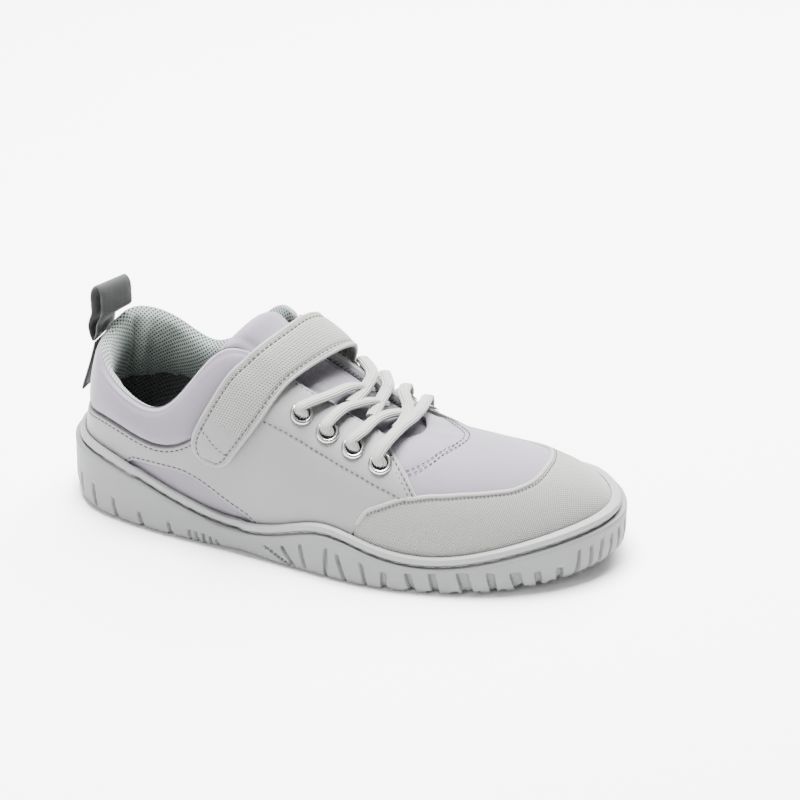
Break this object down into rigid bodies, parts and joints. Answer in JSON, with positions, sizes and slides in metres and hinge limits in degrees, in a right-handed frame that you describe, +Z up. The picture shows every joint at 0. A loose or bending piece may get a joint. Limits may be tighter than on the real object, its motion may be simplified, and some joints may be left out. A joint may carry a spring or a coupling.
{
  "type": "barefoot shoe",
  "caption": "Low barefoot trainer for the right foot: wide toe box, padded collar, lace bars through eyelets, instep strap, heel pull loop and ribbed cup sole.",
  "frame": {"origin": "on the floor under the middle of the shoe's bounding box", "axes": "+X towards the toe, +Y towards the inner side of the foot, +Z up"},
  "size_m": [0.2664, 0.1016, 0.1072],
  "materials": {
    "softshell": "matt lilac grey softshell",
    "microfibre": "smooth matt grey microfibre",
    "woven": "woven warm grey textile",
    "rubber": "matt light grey rubber",
    "insole_mesh": "dark mesh",
    "lace": "ribbed pale grey braid",
    "tape": "dark grey woven tape",
    "metal": "polished silver"
  },
  "bodies": {
    "root": {"outsole": "rubber", "insole": "insole_mesh", "upper": "softshell", "quarter": "microfibre", "toe_cap": "woven", "tongue": "softshell", "strap": "woven", "laces": "lace", "eyelet_outer_1": "metal", "eyelet_outer_2": "metal", "eyelet_outer_3": "metal", "eyelet_outer_4": "metal", "eyelet_inner_1": "metal", "eyelet_inner_2": "metal", "eyelet_inner_3": "metal", "eyelet_inner_4": "metal", "pull_loop": "tape", "heel_tab": "tape"}
  },
  "joints": []
}
